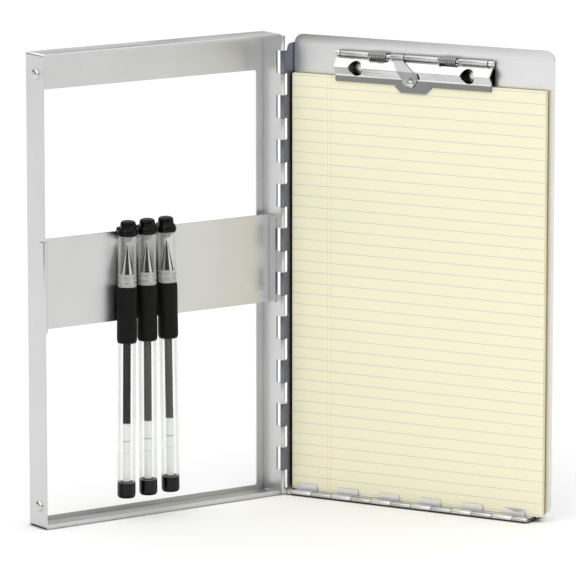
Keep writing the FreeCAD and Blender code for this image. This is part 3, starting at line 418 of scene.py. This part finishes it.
# Paper and board
def ruled_paper(name, looks):
    """Ruled yellow paper with a double margin line: UV is the sheet's own x and y in metres."""
    material, tree = new_material(name)
    uv = sheet_place(tree)
    across, up, _ = split(tree, uv)
    fibre = noise(tree, uv, 900.0, 4.0)
    cloud = noise(tree, uv, 14.0)
    pitch = looks.rule_pitch
    cycle = maths(tree, "MODULO", maths(tree, "ADD", up, pitch * 0.5 - looks.rule_start), pitch)
    rules = maths(tree, "MULTIPLY", stripe(tree, cycle, pitch * 0.5 / MM, 0.12, 0.28),
                  span(tree, fibre, 0.3, 0.7, 0.75, 1.0))
    margin = maths(tree, "MAXIMUM", *[stripe(tree, across, line, 0.096, 0.224) for line in (21.8, 23.9)])
    base = tint(tree, cloud, scaled(looks.paper, 0.985), looks.paper)
    with_rules = tint(tree, maths(tree, "MULTIPLY", rules, 0.75), base, (0.47, 0.60, 0.72))
    inked = tint(tree, maths(tree, "MULTIPLY", margin, 0.7), with_rules, (0.98, 0.66, 0.30))
    finish_material(tree, Base_Color=inked, Roughness=0.78, Normal=bump(tree, fibre, 0.10, 0.05),
                    Specular_IOR_Level=0.25)
    return material


def page_edges(name, looks):
    """The cut edges of the sheets: fine layers across the pad's thickness (UV y)."""
    material, tree = new_material(name)
    layers = noise(tree, mapped(tree, sheet_place(tree), (40, 9000, 1)), 1.0, 3.0, 0.7)
    shadow = [one * share for one, share in zip(looks.paper, (0.80, 0.72, 0.55))]
    layered = tint(tree, span(tree, layers, 0.35, 0.65, 0.0, 1.0), shadow, looks.paper)
    finish_material(tree, Base_Color=layered, Roughness=0.85, Normal=bump(tree, layers, 0.4, 0.1),
                    Specular_IOR_Level=0.2)
    return material


def grey_board(name):
    material, tree = new_material(name)
    fleck = noise(tree, place_on(tree), 700.0, 5.0, 0.7)
    finish_material(tree, Base_Color=tint(tree, span(tree, fleck, 0.35, 0.65, 0.0, 1.0),
                                          (0.34, 0.30, 0.24), (0.52, 0.47, 0.39)),
                    Roughness=0.9, Normal=bump(tree, fleck, 0.3, 0.1))
    return material


MATERIALS = {}


def make_materials(looks):
    """Every finish of the box, under the short name that the pieces use."""
    metal = tuple(looks.metal)
    MATERIALS.update(
        # The two dark edge finishes are painted shade along the rounded edges and bends.
        cut_edge=plated("cut_edge", (0.10, 0.10, 0.10), 0.3),
        nickel_edge=plated("nickel_edge", (0.10, 0.10, 0.10), 0.2),
        # Painted highlight on the tray's top face; painted shade towards the plate's top and inside the
        # shell's hinge wall.
        tray=brushed_sheet("tray_sheet", metal, painted_light_top=TRAY_TOP),
        leaf=brushed_sheet("leaf_sheet", scaled(metal, 1.22), LEAF_TURN, painted_shade_top=PLATE_TOP),
        shell=brushed_sheet("shell_sheet", metal, LEAF_TURN, painted_shade_left=HINGE_WALL),
        rivet=plated("rivet_metal", (0.66, 0.66, 0.65), 0.20),
        pin=plated("pin_metal", (0.62, 0.62, 0.62), 0.28),
        # Painted shade on the jaw below its lip and on the clip base below the jaw's knuckle.
        nickel=plated("nickel", (0.80, 0.80, 0.79), 0.13, painted_shade_below=JAW_LIP),
        base=plated("clip_base_metal", (0.60, 0.60, 0.59), 0.2, painted_shade_below=CLIP_TOP - CLIP_KNUCKLE),
        bright=plated("bright_nickel", (0.84, 0.84, 0.83), 0.12),
        lever=plated("lever_metal", (0.52, 0.52, 0.52), 0.36),
        spring=plated("spring_wire", (0.52, 0.52, 0.51), 0.18),
        paper=ruled_paper("ruled_paper", looks),
        edges=page_edges("page_edges", looks),
        board=grey_board("grey_board"),
        clear=clear_plastic("clear_plastic", plug_top=FOOT_PLUG - 0.2, plug=looks.plastic),
        cap=clear_plastic("clear_cap", collar_top=COLLAR_TOP),
        black=gloss_plastic("black_plastic", looks.plastic),
        grip=rubber_grip("rubber_grip"),
        refill_left=refill_tube("refill_black", (0.004, 0.004, 0.004)),
        refill_middle=refill_tube("refill_dark", (0.060, 0.060, 0.059)),
        refill_right=refill_tube("refill_grey", (0.065, 0.065, 0.063)),
        cone=turned_chrome("tip_cone", CONE, CONE_FRONT),
        seat=frosted_plastic("cap_seat", (0.55, 0.56, 0.55)),
    )


# Mesh helpers
def rounded_corner(before, corner, after, radius, steps=5):
    """Points that round one corner of a line."""
    back = before - corner
    onward = after - corner
    reach = min(radius, back.length * 0.49, onward.length * 0.49)
    if reach < 1e-7:
        return [corner]
    start = corner + back.normalized() * reach
    stop = corner + onward.normalized() * reach
    points = []
    for step in range(steps + 1):
        t = step / steps
        points.append(start * (1 - t) ** 2 + corner * 2 * t * (1 - t) + stop * t * t)
    return points


def softened(line, radius):
    """A line with its inner corners rounded; a point may give its own radius as a third number."""
    points = [Vector(one[:2]) for one in line]
    made = [points[0]]
    for number in range(1, len(points) - 1):
        own = line[number][2] if len(line[number]) > 2 else radius
        made += rounded_corner(points[number - 1], points[number], points[number + 1], own)
    return made + [points[-1]]


def new_object(name, mesh, materials, body, *nodes, slot, smooth=35):
    """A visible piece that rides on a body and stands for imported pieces."""
    for polygon in mesh.polygons:
        polygon.use_smooth = True
    mesh.set_sharp_from_angle(angle=math.radians(smooth))
    piece = bpy.data.objects.new(name, mesh)
    bpy.context.scene.collection.objects.link(piece)
    for one in materials:
        mesh.materials.append(MATERIALS[one])
    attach(piece, body)
    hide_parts(*nodes)


def lathe(name, profile, place, turns=64):
    """A turned mesh from a closed line of (radius, height) in mm.

    UV x runs round it and UV y up it, in metres."""
    mesh = bpy.data.meshes.new(name)
    build = bmesh.new()
    layer = build.loops.layers.uv.new("UVMap")
    rings = []
    for radius, height in profile:
        if radius < 1e-6:
            rings.append([build.verts.new((0, 0, height * MM))] * turns)
            continue
        ring = []
        for step in range(turns):
            angle = 2 * math.pi * step / turns
            spot = (radius * math.cos(angle) * MM, radius * math.sin(angle) * MM, height * MM)
            ring.append(build.verts.new(spot))
        rings.append(ring)
    girth = 2 * math.pi * max(one[0] for one in profile) * MM
    for low in range(len(rings)):
        high = (low + 1) % len(rings)
        for step in range(turns):
            after = (step + 1) % turns
            kept = []
            for corner in ((rings[low][step], step, low), (rings[low][after], step + 1, low),
                           (rings[high][after], step + 1, high), (rings[high][step], step, high)):
                if all(corner[0] is not other[0] for other in kept):
                    kept.append(corner)
            if len(kept) < 3:
                continue
            face = build.faces.new([one[0] for one in kept])
            for loop, corner in zip(face.loops, kept):
                loop[layer].uv = (girth * corner[1] / turns, profile[corner[2]][1] * MM)
    bmesh.ops.remove_doubles(build, verts=build.verts, dist=1e-7)
    bmesh.ops.recalc_face_normals(build, faces=build.faces)
    build.to_mesh(mesh)
    build.free()
    mesh.transform(place)
    return mesh


def sheet_bundle(corners, near, far, radius, edge):
    """Some sheets of paper as a plate in mm: an outline in x and z, thick from near to far in y."""
    mesh = bpy.data.meshes.new("pages")
    build = bmesh.new()
    layer = build.loops.layers.uv.new("UVMap")
    points = []
    for number in range(len(corners)):
        around = [Vector(corners[(number + step) % len(corners)]) for step in (-1, 0, 1)]
        points += rounded_corner(*around, radius)
    middle = sum(points, Vector((0, 0))) / len(points)
    rings = []
    for level, inset in ((near, edge), (near + edge, 0.0), (far - edge, 0.0), (far, edge)):
        ring = []
        for point in points:
            away = point - middle
            shrunk = point - Vector((math.copysign(inset, away.x), math.copysign(inset, away.y)))
            ring.append(build.verts.new((shrunk.x * MM, level * MM, shrunk.y * MM)))
        rings.append(ring)
    for face in (build.faces.new(rings[0]), build.faces.new(rings[-1][::-1])):
        for loop in face.loops:
            loop[layer].uv = (loop.vert.co.x - PAD_LEFT * MM, loop.vert.co.z - PAD_LOW * MM)
    for one, two in zip(rings, rings[1:]):
        for number in range(len(points)):
            after = (number + 1) % len(points)
            face = build.faces.new((one[number], one[after], two[after], two[number]))
            face.material_index = 1
            for loop in face.loops:
                place = loop.vert.co
                loop[layer].uv = (place.x + place.z, place.y)
    bmesh.ops.recalc_face_normals(build, faces=build.faces)
    build.to_mesh(mesh)
    build.free()
    return mesh


def dress(node, material, bevel=0.0, edge=None, sharp=40):
    """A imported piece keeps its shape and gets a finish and, on sheet work, edges rounded by bevel (m)."""
    piece = NODES[node]
    piece.data.materials.clear()
    piece.data.materials.append(MATERIALS[material])
    if not bevel:
        return
    weld = piece.modifiers.new("weld", "WELD")
    weld.merge_threshold = 0.01 * MM
    rounding = piece.modifiers.new("edges", "BEVEL")
    rounding.width = bevel
    rounding.segments = 2
    rounding.limit_method = "ANGLE"
    rounding.angle_limit = math.radians(sharp)
    rounding.harden_normals = False
    # The rounding gets the edge finish; the dark ones are painted shade.
    if edge:
        piece.data.materials.append(MATERIALS[edge])
        rounding.material = 1


# Sheet work and clip
class SheetWork(bpy.types.Operator):
    """Finishes for the folded sheet, rivets and pins."""

    bl_idname = "clipbox.sheet_work"
    bl_label = "Dress sheet work"

    def execute(self, context):
        bevel = context.scene.box_looks.bevel
        dress("tray_frame", "tray", bevel, "cut_edge")
        dress("pen_strap", "tray", bevel, "cut_edge")
        dress("cover_shell", "shell", bevel, "cut_edge")
        dress("writing_plate", "leaf", bevel, "cut_edge")
        dress("corner_rivets", "rivet")
        dress("side_hinge_pin", "pin")
        dress("bottom_hinge_pin", "pin")
        return {"FINISHED"}


class ClipWork(bpy.types.Operator):
    """Finishes for the clip, its lever, rivets, rod and springs."""

    bl_idname = "clipbox.clip_work"
    bl_label = "Dress clip"

    def execute(self, context):
        dress("clip_base", "base", 0.3 * MM, "nickel_edge")
        dress("clip_jaw", "nickel", 0.22 * MM, "nickel_edge", sharp=18)
        dress("clip_lever", "lever", 0.22 * MM, "nickel_edge")
        dress("clip_lever_rivet", "rivet")
        dress("clip_base_rivets", "rivet")
        dress("clip_rod", "bright")
        dress("clip_spring_left", "spring")
        dress("clip_spring_right", "spring")
        return {"FINISHED"}


# Pad
class PadWork(bpy.types.Operator):
    """The ruled pad: sheets in small bundles that lie a hair apart, on a board."""

    bl_idname = "clipbox.pad_work"
    bl_label = "Build pad"

    def execute(self, context):
        random.seed(7)
        bundles = 12
        slip = 0.14
        thick = (PAD_BACK - PAD_FRONT) / bundles
        build = bmesh.new()
        for number in range(bundles):
            own = slip if number else 0.0
            left = PAD_LEFT + random.uniform(0, own)
            right = PAD_RIGHT - random.uniform(0, own)
            high = PAD_HIGH - random.uniform(0, own)
            near = PAD_FRONT + number * thick
            outline = [(left, PAD_LOW), (right, PAD_LOW), (right, high), (left, high)]
            build.from_mesh(sheet_bundle(outline, near, near + thick * 0.97, radius=0.3, edge=0.03))
        pages = bpy.data.meshes.new("pad_pages")
        build.to_mesh(pages)
        build.free()
        pages.transform(LEAF)
        new_object("pad_pages", pages, ["paper", "edges"], "pad", "pad_sheets", slot="pad_paper", smooth=20)
        dress("pad_backing", "board")
        return {"FINISHED"}


# Pens
def turned(pen, place, part, profile, material, slot, body="pen", radius=0.3):
    """One turned piece of a pen, from a closed line of (radius, height) and, for some corners, a rounding."""
    mesh = lathe(f"{pen}_{part}", softened(profile, radius), place)
    new_object(f"pen_{pen}_{part}_look", mesh, [material], f"{body}_{pen}", f"pen_{pen}_{part}", slot=slot)


def barrel(pen, place):
    turned(pen, place, "barrel", [
        (BORE, 60), (BORE, 1.2, 0.1), (TUBE, 1.2, 0.25), (TUBE, 84.0, 0.1), (NECK, NECK_FOOT, 0.1),
        (NECK, NECK_TOP, 0.1), (NECK_BORE, NECK_TOP, 0.1), (NECK_BORE, NECK_FOOT, 1.0), (BORE, 82.6, 1.0),
        (BORE, 60)], "clear", "pen_clear")


def end_plug(pen, place):
    turned(pen, place, "end_plug", [
        (0, FOOT_PLUG), (3.0, FOOT_PLUG, 0.3), (4.05, 8.5, 0.4), (4.05, 1.25, 0.02), (4.6, 1.15, 0.15),
        (4.58, 0.5, 0.4), (4.0, 0, 0.5), (0, 0)], "black", "pen_black")


def refill(pen, place):
    foot, top = 8.9, 119.9
    turned(pen, place, "refill", [(0, foot), (REFILL, foot), (REFILL, top), (0, top)],
           f"refill_{pen}", "pen_ink", radius=0.15)


def grip(pen, place):
    """The rubber sleeve, with two soft waists and rounded ends."""
    turned(pen, place, "grip", [
        (4.3, 84.2), (4.3, 113.9), (5.0, 114.0, 0.3), (5.35, 113.4, 0.6), (5.42, 108), (5.3, 100), (5.42, 92),
        (5.42, 85.6, 0.6), (4.95, 84.15, 0.6), (4.3, 84.2)], "grip", "pen_rubber", radius=3.0)


def tip(pen, place):
    """The plated cone with its collar, its point and the writing ball's seat."""
    turned(pen, place, "tip", [
        (REFILL, 116.05), (CONE, 116.05, 0.1), (CONE, 117.6, 0.1), (3.95, 118.0, 0.2), (3.95, 119.2, 0.3),
        (3.6, 120.4, 0.3), (1.45, 131.6, 0.6), (1.1, 134.0, 0.2), (1.0, 134.3, 0.05), (0.62, 134.4, 0.05),
        (0.5, 136.2, 0.1), (0.3, 136.6, 0.1), (0, 136.6)], "cone", "pen_metal")


def cap(pen, place):
    """The clear cap: a thin tube with three ribs round its rim."""
    outside = [(CAP_BORE, CAP_FOOT), (4.95, CAP_FOOT, 0.2)]
    for radius, low, high in ((CAP_RIM, 114.9, 116.3), (5.08, 117.4, 118.7)):
        groove = high + 0.3
        outside += [(radius, low, 0.2), (radius, high, 0.2), (4.85, groove, 0.2), (4.85, groove + 0.5, 0.2)]
    outside += [(5.05, 119.8, 0.2), (5.05, 120.9, 0.3), (4.88, 121.9, 0.4), (4.88, CAP_TOP)]
    turned(pen, place, "cap", [(CAP_BORE, 129), *outside, (CAP_BORE, CAP_TOP), (CAP_BORE, 129)],
           "cap", "pen_clear", body="cap")


def cap_plug(pen, place, crown_shift):
    """The black plug on the cap with its crown and pocket clip, and the frosted stub that holds it."""
    node, body = f"pen_{pen}_cap_plug", f"cap_{pen}"
    seat = CAP_BORE - 0.1
    stub = lathe(f"{pen}_stub", softened([
        (0, 138.6), (1.9, 138.6, 0.4), (2.5, 140.6, 0.5), (seat, 140.9, 0.1), (seat, 141.6, 0.1),
        (0, CAP_TOP)], 0.3), place)
    new_object(f"pen_{pen}_cap_stub_look", stub, ["seat"], body, node, slot="pen_clear")
    plug = lathe(f"{pen}_plug", softened([
        (0, 141.72), (4.25, 141.75, 0.05), (5.0, 141.8, 0.2), (5.28, 142.4, 0.4), (5.25, 144.2, 0.9),
        (4.5, 145.7, 0.6)], 0.3), Matrix())
    crown = lathe(f"{pen}_crown", softened([
        (0, 144.0), (4.3, 144.0, 0.02), (4.28, 147.6, 1.4), (3.9, 149.3, 1.0), (2.4, 149.95, 1.4),
        (0, 149.98)], 0.3), Matrix.Translation((crown_shift * MM, 0, 0)))
    build = bmesh.new()
    build.from_mesh(plug)
    build.from_mesh(crown)
    pocket_clip(build)
    build.to_mesh(plug)
    build.free()
    plug.transform(place)
    new_object(f"pen_{pen}_cap_plug_look", plug, ["black"], body, node, slot="pen_black")


def pocket_clip(build, sides=16):
    """A rounded bar from the plug out over the strap and down behind it."""
    line = softened([(0.0, ARM_HIGH), (ARM_OUT, ARM_HIGH, 1.3), (ARM_OUT, ARM_LOW)], 1.3)
    rings = []
    for number, point in enumerate(line):
        before = line[max(number - 1, 0)]
        after = line[min(number + 1, len(line) - 1)]
        way = (after - before).normalized()
        out = Vector((-way.y, way.x))
        half_wide = 2.0 * min(1.0, 0.55 + (line[-1] - point).length / 3.0)
        half_thick = 1.45 if point.x < 6.0 else 0.6
        ring = []
        for step in range(sides):
            angle = 2 * math.pi * step / sides
            c, s = math.cos(angle), math.sin(angle)
            flat = point + out * math.copysign(abs(s) ** 0.5, s) * half_thick
            x = math.copysign(abs(c) ** 0.5, c) * half_wide
            ring.append(build.verts.new((x * MM, flat.x * MM, flat.y * MM)))
        rings.append(ring)
    for one, two in zip(rings, rings[1:]):
        for step in range(sides):
            after = (step + 1) % sides
            build.faces.new((one[step], one[after], two[after], two[step]))
    build.faces.new(rings[0][::-1])
    build.faces.new(rings[-1])
    bmesh.ops.recalc_face_normals(build, faces=build.faces)


class PenWork(bpy.types.Operator):
    """Three capped pens: clear barrel and cap, rubber grip, refill, cone and plugs."""

    bl_idname = "clipbox.pen_work"
    bl_label = "Build pens"

    def execute(self, context):
        for pen, (foot, top, crown_shift) in PENS.items():
            lean = math.asin((top - foot) / PEN_LONG)
            stand = Matrix.Translation(((foot + PEN_ROW_X) * MM, PEN_ROW_Y * MM, PEN_FOOT * MM))
            place = stand @ Matrix.Rotation(lean, 4, "Y")
            for part in (barrel, end_plug, refill, grip, tip, cap):
                part(pen, place)
            cap_plug(pen, place, crown_shift)
        return {"FINISHED"}


# Stage
class Studio(bpy.types.Operator):
    """Camera, floor and soft studio light."""

    bl_idname = "clipbox.studio"
    bl_label = "Build studio"

    def execute(self, context):
        scene = context.scene
        studio = scene.box_studio
        scene.view_settings.view_transform = "Standard"
        set_camera(scene)
        lay_floor(scene, studio)
        light_tent(scene, studio)
        aim_lamp(scene, "key", (-1.9, -0.9, 1.35), (0.1, -0.06, 0.12), 1.6, studio.key)
        aim_lamp(scene, "fill", (1.1, -2.0, 1.0), (0.0, 0, 0.12), 1.4, studio.key * 0.2)
        return {"FINISHED"}


def set_camera(scene):
    """The photographed view, fitted to the pad's and the tray's corners."""
    data = bpy.data.cameras.new("camera")
    data.sensor_width = 36.0
    data.lens = 315.73
    data.clip_end = 50.0
    camera = bpy.data.objects.new("camera", data)
    scene.collection.objects.link(camera)
    camera.location = (-1473.65 * MM, -2214.6 * MM, 592.57 * MM)
    looking_down = 10.06
    camera.rotation_euler = (math.radians(90 - looking_down), 0, math.radians(-35.16))
    scene.camera = camera


def lay_floor(scene, studio):
    """A wide pale floor a hair below the box, with painted shadow where the box stands on it."""
    mesh = bpy.data.meshes.new("floor")
    build = bmesh.new()
    bmesh.ops.create_grid(build, x_segments=8, y_segments=8, size=8.0)
    build.to_mesh(mesh)
    build.free()
    material, tree = new_material("floor")
    mottle = noise(tree, place_on(tree), 5.0)
    shade = tint(tree, mottle, scaled(studio.floor, 0.995), studio.floor)
    # Painted contact shadow along the foot of the box.
    finish_material(tree, Base_Color=painted_crevice_shade(tree, shade, 5.0, 0.40, 0.78), Roughness=0.9,
                    Specular_IOR_Level=0.1)
    mesh.materials.append(material)
    floor = bpy.data.objects.new("floor", mesh)
    scene.collection.objects.link(floor)
    floor.location = (0, 0, -0.2 * MM)


def light_tent(scene, studio):
    """A white tent: bright overhead, dimmer towards the horizon."""
    world = bpy.data.worlds.new("studio")
    scene.world = world
    world.use_nodes = True
    tree = world.node_tree
    up = split(tree, add(tree, "TexCoord"))[2]
    strength = add(tree, "MapRange", {"Value": up, "From Min": 0.25, "From Max": 0.75,
                                      "To Min": studio.horizon, "To Max": studio.tent},
                   interpolation_type="SMOOTHSTEP")
    tree.links.new(strength, tree.nodes["Background"].inputs["Strength"])
    tree.nodes["Background"].inputs["Color"].default_value = (1, 1, 1, 1)


def aim_lamp(scene, name, spot, aim, size, power):
    """A square soft lamp at a spot, turned towards its aim; both in metres."""
    lamp = bpy.data.lights.new(name, "AREA")
    lamp.size = size
    lamp.energy = power
    light = bpy.data.objects.new(name, lamp)
    scene.collection.objects.link(light)
    light.location = spot
    light.rotation_mode = "QUATERNION"
    light.rotation_quaternion = (Vector(aim) - Vector(spot)).to_track_quat("-Z", "Y")


class ClipboxPanel(bpy.types.Panel):
    """The box's colours and sizes, and one button for each group of pieces."""

    bl_idname = "CLIPBOX_PT_panel"
    bl_label = "Clipboard box"
    bl_space_type = "VIEW_3D"
    bl_region_type = "UI"
    bl_category = "Clipboard box"

    def draw(self, context):
        for settings in (context.scene.box_looks, context.scene.box_studio):
            for name in settings.__annotations__:
                self.layout.prop(settings, name)
        for one in OPERATORS:
            self.layout.operator(one.bl_idname)


OPERATORS = (SheetWork, ClipWork, PadWork, PenWork, Studio)
CLASSES = (BoxLooks, BoxStudio, *OPERATORS, ClipboxPanel)


def register():
    for one in CLASSES:
        bpy.utils.register_class(one)
    bpy.types.Scene.box_looks = bpy.props.PointerProperty(type=BoxLooks)
    bpy.types.Scene.box_studio = bpy.props.PointerProperty(type=BoxStudio)


def unregister():
    del bpy.types.Scene.box_looks
    del bpy.types.Scene.box_studio
    for one in reversed(CLASSES):
        bpy.utils.unregister_class(one)


def main():
    register()
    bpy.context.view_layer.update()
    make_materials(bpy.context.scene.box_looks)
    bpy.ops.clipbox.sheet_work()
    bpy.ops.clipbox.clip_work()
    bpy.ops.clipbox.pad_work()
    bpy.ops.clipbox.pen_work()
    bpy.ops.clipbox.studio()
    bpy.context.view_layer.update()


if __name__ == "__main__":
    main()
